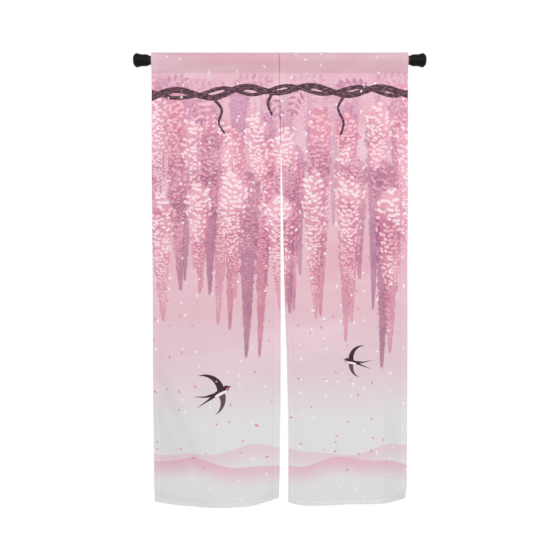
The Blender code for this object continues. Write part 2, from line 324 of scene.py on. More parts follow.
class Panel:
    """One cloth panel: where each point of its front face hangs, and the place on the print that it shows."""

    def __init__(self, side, edges, hem, folds, curls):
        self.side = side
        self.toward_middle = 1.0 if side == "left" else -1.0
        self.edges = edges
        self.hem = hem
        self.folds = folds
        self.curls = curls
        across = places_across()
        heights = heights_up()
        round_pocket = places_round_pocket()
        self.columns = across
        self.hanging_rows = len(heights)
        self.across, self.height = np.meshgrid(across, np.concatenate([heights, HANG_LENGTH + round_pocket]))
        self.shape = self.across.shape
        self.print_across = self.across if side == "left" else CLOTH_WIDTH - self.across
        self.print_down = POCKET_FRONT + HANG_LENGTH - self.height
        hanging = self.hang(*np.meshgrid(across / PANEL_WIDTH, 1.0 - heights / HANG_LENGTH))
        around = self.wrap(*np.meshgrid(across / PANEL_WIDTH, round_pocket))
        self.points = np.concatenate([hanging, around])
        self.points += self.relief()[..., None] * self.outward()

    def ends(self, drop):
        """(x of the outer edge, x of the inner edge) at each drop."""
        outer = smooth_curve(self.edges, "outer", drop)
        opened = np.where(drop > SLIT_START, smooth_curve(self.edges, "inner", drop), 0.0)
        down_seam = np.clip(drop / SLIT_START, 0.0, 1.0)
        seam = MIDDLE_X + SEAM_TOP_SHIFT + (SEAM_LOW_SHIFT - SEAM_TOP_SHIFT) * down_seam
        seam = seam - self.toward_middle * SEAM_GAP / 2
        return MIDDLE_X - self.toward_middle * (PANEL_WIDTH - outer), seam + opened

    def fold_depth(self, across, drop):
        depth = np.zeros_like(across)
        for fold in self.folds:
            start = np.array((fold.top_across, fold.top_drop))
            line = np.array((fold.low_across, fold.low_drop)) - start
            length = np.hypot(*line)
            _, beside, beyond = from_line(across, drop, start, line / length, length)
            away = np.hypot(beside, beyond * fold.half_width / FOLD_FADE) / fold.half_width
            depth += fold.depth * 0.5 * (1.0 + np.cos(math.pi * np.minimum(away, 1.0)))
        return depth

    def hang(self, share, fall):
        """Points of the hanging cloth: share runs from the outer edge to the inner one, and fall from the
        stitch line to the hem's edge."""
        nominal = share * PANEL_WIDTH
        hem_drop = smooth_curve(self.hem, "drop", nominal)
        drop = POCKET_DROP + (hem_drop - POCKET_DROP) * fall
        outer_x, inner_x = self.ends(drop)
        x = outer_x + (inner_x - outer_x) * share
        across = np.abs(x - outer_x)
        back = smooth_curve(self.hem, "back", nominal) * smooth_step(WAVE_START, WAVE_FULL, drop)
        back += self.fold_depth(across, drop) * smooth_step(POCKET_DROP, WAVE_START, drop)
        for curl in self.curls:
            edge_gap = np.abs(x - (inner_x if curl.inner_side else outer_x))
            turned = np.maximum(0.0, 1.0 - (edge_gap + hem_drop - drop) / curl.reach) ** curl.power
            back += curl.back * turned
            drop = drop - curl.lift * turned
            inward = -self.toward_middle if curl.inner_side else self.toward_middle
            x = x + inward * curl.inward * turned
        return np.stack([x, back - LAYER_OFFSET - FACE_OUT, CREST_HEIGHT - drop], axis=-1)

    def wrap(self, share, along):
        """Points of the pocket, at lengths of cloth up from the stitch line."""
        y = np.interp(along, POCKET_ALONG, POCKET[:, 0])
        z = np.interp(along, POCKET_ALONG, POCKET[:, 1])
        outer_x, inner_x = self.ends(CREST_HEIGHT - z)
        return np.stack([outer_x + (inner_x - outer_x) * share, y, z], axis=-1)

    def outward(self):
        """The direction out of the cloth's printed face at each point."""
        up = np.gradient(self.points, axis=0)
        inward = np.gradient(self.points, axis=1)
        return unit(np.cross(inward, up) * self.toward_middle)

    def relief(self):
        """How far the printed face stands out from the smooth sheet: soft ripples, full hems, stitch lines
        that pull in, and the seam's valley."""
        across = self.print_across
        down = self.print_down
        from_inner = PANEL_WIDTH - self.across
        above_stitch = self.height - HANG_LENGTH
        seed = 3 if self.side == "left" else 8
        out = np.zeros(self.shape)
        for number, (depth, wave, stretch, start, full) in enumerate(RIPPLES):
            height = depth * ripples(across, down, wave, stretch, seed + number)
            out += height * smooth_step(start, full, down)
        puckers = ripples(across * 0.2, down, 0.020, 1.0, seed + 3)
        for gap in (self.across, from_inner):
            out += hem_relief(gap, SIDE_HEM, 0.0016)
            out += 0.00020 * np.exp(-np.abs(gap - SIDE_HEM) / 0.009) * puckers
        out += hem_relief(self.height, BOTTOM_HEM, 0.0014)
        puckers = ripples(across, down * 0.2, 0.020, 1.0, seed + 4)
        out += 0.00022 * np.exp(-np.abs(self.height - BOTTOM_HEM) / 0.008) * puckers
        out -= 0.00034 * np.exp(-((above_stitch / 0.0014) ** 2))
        out += 0.00030 * np.exp(-(((np.abs(above_stitch) - 0.005) / 0.003) ** 2))
        puckers = ripples(across, down * 0.25, 0.019, 1.0, seed + 5)
        out += 0.00022 * np.exp(-np.abs(above_stitch) / 0.012) * puckers
        joined = smooth_step(SLIT_START + 0.012, SLIT_START - 0.004, down - (POCKET_FRONT - POCKET_DROP))
        out -= 0.00095 * joined * np.clip(1.0 - from_inner / 0.0030, 0.0, 1.0) ** 1.6
        return out

    def thickness(self):
        """The cloth's thickness at each point: folded over twice at the hems, and less at their very edge."""
        edge_gap = np.minimum(self.across, PANEL_WIDTH - self.across)
        in_side_hem = edge_gap < SIDE_HEM + HEM_MARGIN
        in_pocket = self.height > HANG_LENGTH - 0.010
        thick = np.full(self.shape, CLOTH_THICK)
        thick[in_side_hem | (self.height < BOTTOM_HEM + HEM_MARGIN)] = HEM_THICK
        thick[in_side_hem & in_pocket] = POCKET_HEM_THICK
        thick[(edge_gap < HEM_MARGIN) | (self.height < HEM_MARGIN)] = EDGE_THICK
        return thick


def deselect_all():
    for found in bpy.context.view_layer.objects:
        found.select_set(False)


def select_only(piece):
    deselect_all()
    piece.select_set(True)
    bpy.context.view_layer.objects.active = piece


def values_of(items, name, kind=np.int64, width=1):
    """One property of all the items of a mesh, as an array."""
    values = np.empty(len(items) * width, dtype=kind)
    items.foreach_get(name, values)
    return values


def make_cloth(panel, printed, wrong_side):
    """The panel as a thin sheet: a grid moved to where it hangs, then given its thickness."""
    rows, columns = panel.shape
    deselect_all()
    bpy.ops.mesh.primitive_grid_add(x_subdivisions=columns - 1, y_subdivisions=rows - 1, size=1.0)
    cloth = bpy.context.object
    cloth.name = "cloth_" + panel.side
    cloth.data.name = cloth.name
    mesh = cloth.data
    count = len(mesh.vertices)
    flat = values_of(mesh.vertices, "co", float, 3).reshape(-1, 3)
    column = np.rint((flat[:, 0] + 0.5) * (columns - 1)).astype(int)
    row = np.rint((flat[:, 1] + 0.5) * (rows - 1)).astype(int)
    if count != rows * columns:
        raise ValueError("the cloth's grid has another number of points")
    mesh.vertices.foreach_set("co", panel.points[row, column].ravel())
    if panel.side == "right":
        mesh.flip_normals()
    thick = panel.thickness()[row, column]
    group = cloth.vertex_groups.new(name="thickness")
    for value in np.unique(thick):
        group.add(np.flatnonzero(thick == value).tolist(), float(value / HEM_THICK), "REPLACE")
    mesh.materials.append(printed)
    mesh.materials.append(wrong_side)
    shell = cloth.modifiers.new("thickness", "SOLIDIFY")
    shell.thickness = HEM_THICK
    shell.offset = -1.0
    shell.vertex_group = "thickness"
    shell.material_offset = 1
    select_only(cloth)
    bpy.ops.object.modifier_apply(modifier=shell.name)
    mesh = cloth.data
    loops = values_of(mesh.loops, "vertex_index")
    place = np.stack([panel.print_across[row, column], panel.print_down[row, column]], axis=1)
    while mesh.uv_layers:
        mesh.uv_layers.remove(mesh.uv_layers[0])
    mesh.uv_layers.new(name="print").data.foreach_set("uv", place[loops % count].ravel())
    turned_back = (thick > CLOTH_THICK) & (panel.height[row, column] < CLOTH_DROP)
    slots = values_of(mesh.polygons, "material_index")
    starts = values_of(mesh.polygons, "loop_start")
    all_turned = np.logical_and.reduceat(turned_back[loops % count], starts)
    mesh.polygons.foreach_set("material_index", np.where(all_turned, 0, slots))
    mesh.shade_smooth()
    cloth.vertex_groups.clear()
    return cloth, row, column, count


# Materials: numbers that change over a surface are written as plain sums
def sum_with(operation):
    """A method that adds one Math node for its number and what stands with it."""
    return lambda number, *others: number.finish.math(operation, number, *others)


class Number:
    """A value that changes over a surface. A sum written with it adds Math nodes to its finish."""

    def __init__(self, finish, socket):
        self.finish = finish
        self.socket = socket

    def __rsub__(self, other):
        return self.finish.math("SUBTRACT", other, self)

    __add__ = __radd__ = sum_with("ADD")
    __sub__ = sum_with("SUBTRACT")
    __mul__ = __rmul__ = sum_with("MULTIPLY")
    __truediv__ = sum_with("DIVIDE")
    __pow__ = sum_with("POWER")
    __abs__ = sum_with("ABSOLUTE")
    least = sum_with("MINIMUM")
    most = sum_with("MAXIMUM")

    def over(self, edge, soft):
        """0 below the edge and 1 above it, with a soft width between."""
        return self.finish.step(self, edge, soft, 0.0, 1.0)

    def under(self, edge, soft):
        """1 below the edge and 0 above it, with a soft width between."""
        return self.finish.step(self, edge, soft, 1.0, 0.0)


class Nodes:
    """A tree of shader nodes, with the one method that adds a node to it."""

    def __init__(self, tree):
        self.tree = tree

    def node(self, kind, settings=None, inputs=None):
        """A new node with these settings. Its inputs are values, or other nodes' outputs, which are linked."""
        made = self.tree.nodes.new(kind)
        for name, value in (settings or {}).items():
            setattr(made, name, value)
        for place, value in (inputs or {}).items():
            if isinstance(value, Number):
                value = value.socket
            if isinstance(value, bpy.types.NodeSocket):
                self.tree.links.new(value, made.inputs[place])
            else:
                made.inputs[place].default_value = value
        return made

    def lit_or_seen(self, lit, seen):
        """The first shader for the light that falls on the part, and the second for the camera."""
        path = self.node("ShaderNodeLightPath")
        choice = {0: path.outputs["Is Camera Ray"], 1: lit.outputs[0], 2: seen.outputs[0]}
        return self.node("ShaderNodeMixShader", None, choice).outputs[0]


class Finish(Nodes):
    """A material, with short names for the nodes that its pattern uses."""

    def __init__(self, name, roughness, fixed=None):
        self.material = bpy.data.materials.new(name)
        self.material.use_nodes = True
        super().__init__(self.material.node_tree)
        self.shader = self.tree.nodes["Principled BSDF"]
        self.shader.inputs["Roughness"].default_value = roughness
        for socket, value in (fixed or {}).items():
            self.shader.inputs[socket].default_value = value

    def math(self, operation, *values):
        made = self.node("ShaderNodeMath", {"operation": operation}, dict(enumerate(values)))
        return Number(self, made.outputs[0])

    def step(self, value, edge, soft, first, last):
        settings = {"interpolation_type": "SMOOTHSTEP", "clamp": False}
        inputs = {0: value, 1: edge - soft / 2, 2: edge + soft / 2, 3: first, 4: last}
        return Number(self, self.node("ShaderNodeMapRange", settings, inputs).outputs[0])

    def parts(self, vector):
        made = self.node("ShaderNodeSeparateXYZ", None, {0: vector})
        return [Number(self, output) for output in made.outputs]

    def chances(self, colour):
        """Three numbers from 0 to 1 out of a random colour."""
        made = self.node("ShaderNodeSeparateColor", None, {0: colour})
        return [Number(self, output) for output in made.outputs]

    def joined(self, *values):
        return self.node("ShaderNodeCombineXYZ", None, dict(enumerate(values))).outputs[0]

    def vector(self, operation, *values):
        """The Vector Math node's result: a vector, or a number for a length, a distance or a dot product."""
        made = self.node("ShaderNodeVectorMath", {"operation": operation}, dict(enumerate(values)))
        if operation in ("LENGTH", "DISTANCE", "DOT_PRODUCT"):
            return Number(self, made.outputs["Value"])
        return made.outputs["Vector"]

    def scaled(self, vector, scale):
        made = self.node("ShaderNodeVectorMath", {"operation": "SCALE"}, {"Vector": vector, "Scale": scale})
        return made.outputs["Vector"]

    def mix(self, share, first, second):
        made = self.node("ShaderNodeMix", {"data_type": "RGBA"}, {0: share, 6: first, 7: second})
        return made.outputs[2]

    def noise(self, vector, scale, detail, roughness=0.5, dimensions="2D"):
        made = self.node(
            "ShaderNodeTexNoise",
            {"noise_dimensions": dimensions},
            {"Vector": vector, "Scale": scale, "Detail": detail, "Roughness": roughness},
        )
        return Number(self, made.outputs[0])

    def solid_noise(self, vector, scale, detail):
        return self.noise(vector, scale, detail, dimensions="3D")

    def cells(self, vector, size, randomness):
        """The flat cells round scattered points, each with its own place and random colour."""
        return self.node(
            "ShaderNodeTexVoronoi",
            {"voronoi_dimensions": "2D", "feature": "F1"},
            {"Vector": vector, "Scale": 1.0 / size, "Randomness": randomness},
        )

    def turned(self, vector, angle):
        """The two flat parts of a vector after a turn."""
        inputs = {"Vector": vector, "Angle": angle}
        made = self.node("ShaderNodeVectorRotate", {"rotation_type": "Z_AXIS"}, inputs)
        return self.parts(made.outputs[0])[:2]

    def on_points(self, name):
        """The number with this name that is kept on the mesh's own points."""
        return Number(self, self.node("ShaderNodeAttribute", {"attribute_name": name}).outputs["Fac"])

    def own_place(self):
        return self.node("ShaderNodeTexCoord").outputs["Object"]

    def link(self, value, socket):
        if isinstance(value, Number):
            value = value.socket
        self.tree.links.new(value, self.shader.inputs[socket])

    def bump(self, height, strength, distance):
        inputs = {"Strength": strength, "Distance": distance, "Height": height}
        self.link(self.node("ShaderNodeBump", None, inputs).outputs[0], "Normal")


def opening(along):
    """How far a raceme has opened to its full width, from its top down."""
    return (along * 16.0).least(1.0).most(0.0) ** 0.6


def hang_rank(finish, across, down, ground, rank, seed, grain, sunlit):
    """Paints one rank of racemes over the ground: stems, a soft body, then florets that shrink to the tip."""
    taper = 0.92
    place = (across + rank.shift) * (1.0 / rank.pitch)
    number = finish.math("FLOOR", place)
    chance = finish.node("ShaderNodeTexWhiteNoise", {"noise_dimensions": "1D"}, {"W": number + seed * 17.3})
    first, second, third = finish.chances(chance.outputs["Color"])
    arch = finish.math("SINE", number * (rank.pitch * 7.4) + 0.9) * 0.050
    length = (third * 0.7 + 0.65) * rank.length
    fall = down - (second * rank.spread + (rank.top - 0.050) - arch)
    share = fall / length
    above_tip = share.under(0.985, 0.02)
    share = share.least(0.995).most(-0.10)
    narrowing = 1.0 - share * taper
    side = (place - number - 0.5 + (first - 0.5) * 0.26) * rank.pitch
    side = side + (third - 0.5) * share * share * 0.035
    in_shade = share * 0.35 + third * 0.5 + (0.5 - sunlit) * 1.4 + (down - 0.50) * 2.2
    if rank.stem:
        stem = (abs(side) + (grain - 0.5) * 0.004).under(0.0011, 0.0012)
        stem = stem * down.over(0.135, 0.01) * fall.over(-0.035, 0.05) * fall.under(0.012, 0.01)
        ground = finish.mix(stem * 0.6, ground, BARK_LIGHT)
    beside = side / narrowing
    along = finish.math("LOGARITHM", narrowing, math.e) * length * (-1.0 / taper)
    body_reach = opening(along) * (0.90 * rank.half_width)
    body = (body_reach - abs(beside) + (grain - 0.5) * 0.044).over(0.0, 0.007)
    body = body * above_tip * along.over(0.002, 0.004)
    drawn = finish.joined(beside, along + second * 5.0, 0.0)
    cell = finish.cells(drawn, rank.floret, 0.85)
    middle_beside, middle_along, _ = finish.parts(cell.outputs["Position"])
    luck, tone, _ = finish.chances(cell.outputs["Color"])
    middle_along = middle_along - second * 5.0
    reach = opening(middle_along) * rank.half_width
    kept = (reach * (luck * 0.60 + 0.62) - abs(middle_beside)).over(0.0005, 0.0001) * above_tip
    away = finish.scaled(finish.vector("SUBTRACT", drawn, cell.outputs["Position"]), 1.0 / rank.floret)
    sideways, downward = finish.turned(away, middle_beside * (0.9 / rank.half_width) + (tone - 0.5) * 1.1)
    lobe = finish.vector("LENGTH", finish.joined(abs(sideways) - 0.17, downward + 0.09, 0.0))
    keel = finish.vector("LENGTH", finish.joined(sideways * 1.25, downward - 0.24, 0.0))
    lobes = lobe.under(0.290, 0.08) * kept
    keels = keel.under(0.20, 0.08) * kept
    depth = in_shade + (tone - 0.5) * 0.9 + middle_beside * (0.30 / rank.half_width)
    pale, rich, deep = (dye(*colour) for colour in (rank.pale, rank.rich, rank.deep))
    petal = finish.mix(depth, pale, rich)
    petal = finish.mix(depth - 1.0, petal, deep)
    petal = finish.mix(lobe.over(0.19, 0.14) * 0.4, petal, pale)
    shade = finish.mix(in_shade + tone * 0.3, rich, deep)
    bud = finish.mix(in_shade + tone * 0.3 + 0.4, rich, deep)
    shown = 1.0 - rank.veil
    if rank.veil:
        shown = down.over(0.100, 0.080) * shown
    painted = finish.mix(body * shown * 0.66, ground, shade)
    painted = finish.mix(keels * shown, painted, bud)
    return finish.mix(lobes * shown, painted, petal)


def drift_petals(finish, place, ground, cell_size, size, chance, tint, seed):
    """Scatters single falling petals, each turned its own way."""
    moved = finish.vector("ADD", place, (seed * 3.17, seed * 1.71, 0.0))
    cell = finish.cells(moved, cell_size, 0.95)
    luck, turn, tone = finish.chances(cell.outputs["Color"])
    away = finish.scaled(finish.vector("SUBTRACT", moved, cell.outputs["Position"]), 1.0 / size)
    longways, sideways = finish.turned(away, turn * 6.283)
    bent = sideways * (tone * 0.9 + 1.4) + longways * longways * 0.45
    petal = finish.vector("LENGTH", finish.joined(longways, bent, 0.0))
    cover = petal.under(tone * 0.5 + 0.55, 0.14) * (chance - luck).over(0.0, 0.0001)
    return finish.mix(cover, ground, tint)


def paint_hills(finish, across, down, ground):
    """Low, far hills that fade into mist below their ridges."""
    for ridge, phase, cover in ((1.326, 0.6, 0.42), (1.368, 3.3, 0.66)):
        wave = finish.math("SINE", across * 12.0 + phase) * 0.016
        wave = wave + finish.math("SINE", across * 29.0 + phase * 2.0) * 0.006
        below = down - wave - ridge
        ground = finish.mix(below.over(0.0, 0.0025) * below.under(0.038, 0.080) * cover, ground, HILL)
    return ground


# A row for each bird of the print: where it flies, the way it faces, how far it turns, and its design's unit
SWALLOWS = table(
    "across down facing turn size",
    (0.225, 1.130, 1, -0.45, 0.0112),
    (0.655, 1.035, -1, 0.20, 0.0086),
)


def circle_through(first, second, third):
    """(middle, radius) of the circle through three points."""
    first, second, third = (complex(*point) for point in (first, second, third))
    ratio = (third - first) / (second - first)
    middle = (first - second) * (ratio - abs(ratio) ** 2) / 2j / ratio.imag - first
    return (-middle.real, -middle.imag, 0.0), abs(middle + first)


def paint_swallow(finish, place, ground, bird):
    """A swallow from the side, its wings between two arcs each and its tail forked."""
    soft = 0.0005 / bird.size
    local = finish.node(
        "ShaderNodeMapping",
        {"vector_type": "TEXTURE"},
        {
            "Vector": place,
            "Location": (bird.across, bird.down, 0.0),
            "Rotation": (0.0, 0.0, bird.turn),
            "Scale": (bird.size * bird.facing, -bird.size, 1.0),
        },
    ).outputs[0]
    forward, up, _ = finish.parts(local)

    def disc(middle, radius):
        return finish.vector("DISTANCE", local, middle).under(radius, soft)

    def oval(middle, long, high):
        offset = finish.joined((forward - middle[0]) * (1.0 / long), (up - middle[1]) * (1.0 / high), 0.0)
        return finish.vector("LENGTH", offset).under(1.0, soft / high)

    def wing(leading, trailing, side):
        front_middle, front_radius = circle_through(*leading)
        back_middle, back_radius = circle_through(*trailing)
        inside = disc(front_middle, front_radius) * (1.0 - disc(back_middle, back_radius))
        return inside * (up * side).over(0.0, soft)

    def streamer(start, end, start_half, end_half):
        line = (end[0] - start[0], end[1] - start[1], 0.0)
        away = finish.vector("SUBTRACT", local, (*start, 0.0))
        share = finish.vector("DOT_PRODUCT", away, line) * (1.0 / (line[0] ** 2 + line[1] ** 2))
        share = share.most(0.0).least(1.0)
        gap = finish.vector("DISTANCE", away, finish.scaled(line, share)) - share * (end_half - start_half)
        return gap.under(start_half, soft)

    far_wing = wing(((1.3, 0.0), (0.6, -2.7), (-4.2, -5.2)), ((-0.9, 0.0), (-0.9, -2.2), (-4.2, -5.2)), -1.0)
    near_wing = wing(((1.5, 0.0), (1.5, 3.4), (-3.9, 7.2)), ((-0.9, 0.0), (-0.2, 3.0), (-3.9, 7.2)), 1.0)
    tail = streamer((-2.0, 0.25), (-4.4, 0.75), 0.50, 0.24)
    tail = tail.most(streamer((-4.4, 0.75), (-7.6, 2.2), 0.24, 0.04))
    tail = tail.most(streamer((-2.0, -0.1), (-4.4, -0.55), 0.50, 0.24))
    tail = tail.most(streamer((-4.4, -0.55), (-7.9, -1.1), 0.24, 0.04))
    body = oval((0.0, 0.0), 2.7, 0.85).most(disc((2.2, 0.3, 0.0), 0.88))
    body = body.most(streamer((2.9, 0.35), (3.8, 0.22), 0.28, 0.02))
    ground = finish.mix(far_wing, ground, INK_LIGHT)
    ground = finish.mix(tail.most(body), ground, INK)
    ground = finish.mix(oval((0.15, -0.42), 2.05, 0.42) * body, ground, WHITE_FEATHER)
    ground = finish.mix(disc((2.42, -0.02, 0.0), 0.42), ground, THROAT)
    feathers = finish.math("SINE", (up + forward * 0.55) * 9.0).over(0.75, 0.3)
    feathers = feathers * (forward - up * 0.12).under(-0.35, 0.3) * 0.6
    return finish.mix(near_wing, ground, finish.mix(feathers, INK, INK_LIGHT))


def paint_sewing_light_and_shade(across, down, wash):
    """How much lighter or darker the cloth's colour is made where it is sewn: paler where a hem doubles it,
    with a painted highlight on the ridge just inside the hem's end and a painted shadow just past it, painted
    shade over the rod and a painted shade line at the top crease, and the darkest painted shadow in the
    panels' seam."""
    from_middle = abs(across - PANEL_WIDTH)
    hem_end = POCKET_FRONT + HANG_LENGTH - BOTTOM_HEM
    past_hem = (from_middle - SIDE_HEM).least(PANEL_WIDTH - SIDE_HEM - from_middle).least(hem_end - down)
    shade = past_hem.under(0.0, 0.0015) * 0.020
    # A painted highlight on the hem's ridge just inside its end, then a painted shadow just past the hem
    shade = shade + abs(past_hem + 0.0030).under(0.0016, 0.0020) * 0.030
    shade = shade - abs(past_hem - 0.0018).under(0.0014, 0.0020) * 0.035
    # Painted shade over the rod, for the dark rod behind the thin cloth, and a painted shade line along the
    # top crease
    over_rod = abs(down)
    shade = shade - over_rod.under(POCKET_FRONT + 0.004, 0.006) * 0.110
    shade = shade - over_rod.under(0.0050, 0.0050) * 0.080
    # A painted shadow in the seam between the panels, uneven with the wash
    in_seam = from_middle.under(0.0013, 0.0014) * down.under(POCKET_FRONT + SLIT_START - POCKET_DROP, 0.01)
    return shade - in_seam * (wash * 0.9 - 0.12)


def painted_trough_shade(across, down):
    """A soft painted shade in the low cloth's troughs: one slants in from the left edge, one hangs by the
    right.
    """
    slant = (down - 1.245) * 0.312 + 0.053
    left = abs(across - slant).under(0.048, 0.080) * down.over(1.14, 0.12) * down.under(1.385, 0.10)
    right = abs(across - 0.793).under(0.025, 0.040) * down.over(1.21, 0.08)
    return left * 0.060 + right * 0.035


def print_cloth():
    """The cloth's printed face, and its wrong side, where the same print shows paler."""
    sheen = {"Sheen Weight": 0.06, "Sheen Roughness": 0.5, "Specular IOR Level": 0.25}
    finish = Finish("printed cloth", 0.88, sheen)
    place = finish.node("ShaderNodeUVMap", {"uv_map": "print"}).outputs[0]
    across, down, _ = finish.parts(place)
    wash = finish.noise(place, 7.0, 4.0, 0.6)
    grain = finish.noise(place, 46.0, 3.0, 0.6)
    sunlit = finish.noise(place, 9.0, 3.0, 0.6).over(0.5, 0.55)
    level = down * (1.0 / CLOTH_DROP)
    colour = finish.mix(level.over(0.60, 0.26), PINK_GROUND, MIDDLE_GROUND)
    colour = finish.mix(level.over(0.760, 0.16), colour, PALE_GROUND)
    drift = finish.noise(finish.joined(across * 2.2, down * 5.5, 0.0), 1.0, 3.0, 0.55)
    colour = finish.mix(drift.over(0.56, 0.16) * level.under(0.70, 0.2) * 0.45, colour, PALE_DRIFT)
    colour = finish.mix(drift.under(0.42, 0.16) * level.under(0.55, 0.2) * 0.45, colour, ROSE_DRIFT)
    colour = paint_hills(finish, across, down, colour)
    for number, rank in enumerate(RANKS):
        if number == VINE_RANK:
            colour = paint_vine(finish, across, down, colour, wash, grain)
        colour = hang_rank(finish, across, down, colour, rank, number + 1, grain, sunlit)
    for bird in SWALLOWS:
        colour = paint_swallow(finish, place, colour, bird)
    gusts = wash.over(0.5, 0.35)
    colour = drift_petals(finish, place, colour, 0.046, 0.0068, gusts * 0.40 + 0.08, WHITE_PETAL, 1.0)
    falling = level.over(0.50, 0.25) * level.under(0.935, 0.06) * (gusts * 0.44 + 0.04)
    colour = drift_petals(finish, place, colour, 0.042, 0.0064, falling, ROSE_PETAL, 2.0)
    slub_down = finish.noise(finish.joined(across * 820.0, down * 9.0, 0.0), 1.0, 2.0, 0.6)
    slub_across = finish.noise(finish.joined(across * 9.0, down * 820.0, 3.0), 1.0, 2.0, 0.6)
    weave = slub_down + slub_across
    colour = finish.mix(0.0, colour, WRONG_SIDE)
    paling = colour.node.name
    # The cloth's tone: the weave and an uneven wash, plus painted light and shade along the sewing
    tint = 0.955 + weave * 0.045 + (wash - 0.5) * 0.02 + paint_sewing_light_and_shade(across, down, wash)
    # Painted shade in the low cloth's troughs
    tint = tint - painted_trough_shade(across, down)
    finish.link(finish.scaled(colour, tint), "Base Color")
    finish.link(0.80 + weave * 0.08, "Roughness")
    finish.bump(weave, 0.35, 0.00025)
    wrong_side = finish.material.copy()
    wrong_side.name = "printed cloth, wrong side"
    wrong_side.node_tree.nodes[paling].inputs[0].default_value = 0.45
    return finish.material, wrong_side


def paint_vine(finish, across, down, ground, wash, grain):
    """The vine's twisted stems and its leaves, from the distances kept on the cloth's points."""
    leaf = finish.on_points("leaf")
    tone = finish.on_points("leaf_tone")
    leaf = leaf + (grain - 0.5) * 0.0015
    colour = finish.mix(tone + (wash - 0.5) * 0.8, LEAF, LEAF_DEEP)
    colour = finish.mix(leaf.over(-0.0013, 0.0012) * 0.6, colour, LEAF_EDGE)
    ground = finish.mix(leaf.under(0.0, 0.0009), ground, colour)
    vine = finish.on_points("vine")
    streak = finish.noise(finish.joined(across * 0.25, down, 0.0), 260.0, 2.0)
    bark = finish.mix(streak.over(0.56, 0.2), BARK, BARK_LIGHT)
    return finish.mix((vine + (grain - 0.5) * 0.0022).under(0.0, 0.0012), ground, bark)


# The print's vine and leaves, as distances on the cloth's own points. Each stem runs through places given as
# (across, down, half width)
VINES = (
    ((-0.03, 0.170, 0.0115), (0.08, 0.132, 0.0105), (0.20, 0.158, 0.0095), (0.31, 0.122, 0.0105),
     (0.42, 0.142, 0.0090), (0.53, 0.118, 0.0095), (0.65, 0.150, 0.0100), (0.76, 0.124, 0.0105),
     (0.88, 0.160, 0.0115)),
    ((-0.03, 0.128, 0.0070), (0.07, 0.158, 0.0065), (0.15, 0.150, 0.0060), (0.24, 0.126, 0.0065),
     (0.34, 0.148, 0.0060), (0.45, 0.118, 0.0060), (0.57, 0.146, 0.0065), (0.69, 0.122, 0.0070),
     (0.80, 0.152, 0.0065), (0.88, 0.126, 0.0070)),
    ((0.20, 0.156, 0.0052), (0.232, 0.196, 0.0044), (0.222, 0.240, 0.0038), (0.240, 0.275, 0.0034)),
    ((0.64, 0.150, 0.0052), (0.618, 0.192, 0.0046), (0.636, 0.240, 0.0042), (0.626, 0.280, 0.0036)),
    ((0.40, 0.140, 0.0048), (0.386, 0.180, 0.0044), (0.398, 0.215, 0.0038)),
)


def stroke_gap(across, down, points):
    """How far each place lies outside a brush stroke that runs smoothly through these points."""
    points = np.array(points)
    ends = np.concatenate([2 * points[:1] - points[1:2], points, 2 * points[-1:] - points[-2:-1]])
    gap = np.full(across.shape, 1.0)
    dense = []
    for first, second, third, fourth in zip(ends, ends[1:], ends[2:], ends[3:]):
        for share in np.linspace(0.0, 1.0, 8, endpoint=False):
            dense.append(
                0.5 * (2 * second + (third - first) * share
                + (2 * first - 5 * second + 4 * third - fourth) * share**2
                + (3 * second - first - 3 * third + fourth) * share**3)
            )
    dense.append(points[-1])
    for start, end in zip(dense, dense[1:]):
        line = end[:2] - start[:2]
        share = ((across - start[0]) * line[0] + (down - start[1]) * line[1]) / max(line @ line, 1e-12)
        share = np.clip(share, 0.0, 1.0)
        away = np.hypot(across - start[0] - share * line[0], down - start[1] - share * line[1])
        gap = np.minimum(gap, away - (start[2] + (end[2] - start[2]) * share))
    return gap


# A row for each feathered leaf: where its stalk leaves the vine, the way it points, as an angle down from the
# right, its pairs of leaflets, and how deep its colour is
LEAVES = table(
    "across down heading pairs tone",
    (0.022, 0.135, -0.75, 4, 0.55), (0.105, 0.128, -0.45, 5, 0.15), (0.130, 0.150, 0.85, 4, 0.85),
    (0.275, 0.118, -0.55, 5, 0.45), (0.262, 0.134, 3.55, 4, 0.20), (0.372, 0.138, 0.65, 4, 0.70),
    (0.455, 0.120, -0.60, 5, 0.25), (0.505, 0.122, 2.35, 4, 0.85), (0.600, 0.134, -0.50, 5, 0.60),
    (0.585, 0.140, 0.95, 3, 0.10), (0.735, 0.118, -0.65, 5, 0.30), (0.720, 0.128, 3.60, 4, 0.80),
    (0.790, 0.145, 0.75, 3, 0.45),
)
LEAFLET_LENGTH = 0.034
LEAFLET_HALF_WIDTH = 0.0064
LEAFLET_SPACE = 0.0205


def leaf_places():
    """(across, down, turn, length, tone) of each leaflet."""
    random = np.random.default_rng(21)
    places = []
    for leaf in LEAVES:
        start = np.array((leaf.across, leaf.down))
        heading = leaf.heading
        for pair in range(leaf.pairs):
            heading += 0.13 if math.cos(heading) > 0 else -0.13
            start = start + LEAFLET_SPACE * np.array((math.cos(heading), math.sin(heading)))
            for side in (-1, 1):
                turn = heading + side * random.uniform(0.85, 1.05)
                tone = leaf.tone + random.uniform(-0.18, 0.18)
                places.append((*start, turn, LEAFLET_LENGTH - 0.002 * pair, tone))
        places.append((*start, heading, LEAFLET_LENGTH, leaf.tone))
    return places


def leaf_gaps(across, down):
    """How far each place lies outside the leaflet on top there or nearest, and that leaflet's tone."""
    gap = np.full(across.shape, 1.0)
    tones = np.zeros(across.shape)
    for left, top, turn, length, tone in leaf_places():
        way = (math.cos(turn), math.sin(turn))
        along, beside, beyond = from_line(across, down, (left, top), way, length)
        share = np.clip(along / length, 0.0, 1.0)
        half = LEAFLET_HALF_WIDTH * np.sin(math.pi * share**0.85) ** 0.8
        inside = np.maximum(half - beside, 0.0) * (beyond == 0)
        here = np.hypot(np.maximum(beside - half, 0.0), beyond) - inside
        on_top = (here < 0.0) | (here < gap)
        tones = np.where(on_top, tone + share * 0.3, tones)
        gap = np.where(on_top, here, gap)
    return gap, tones


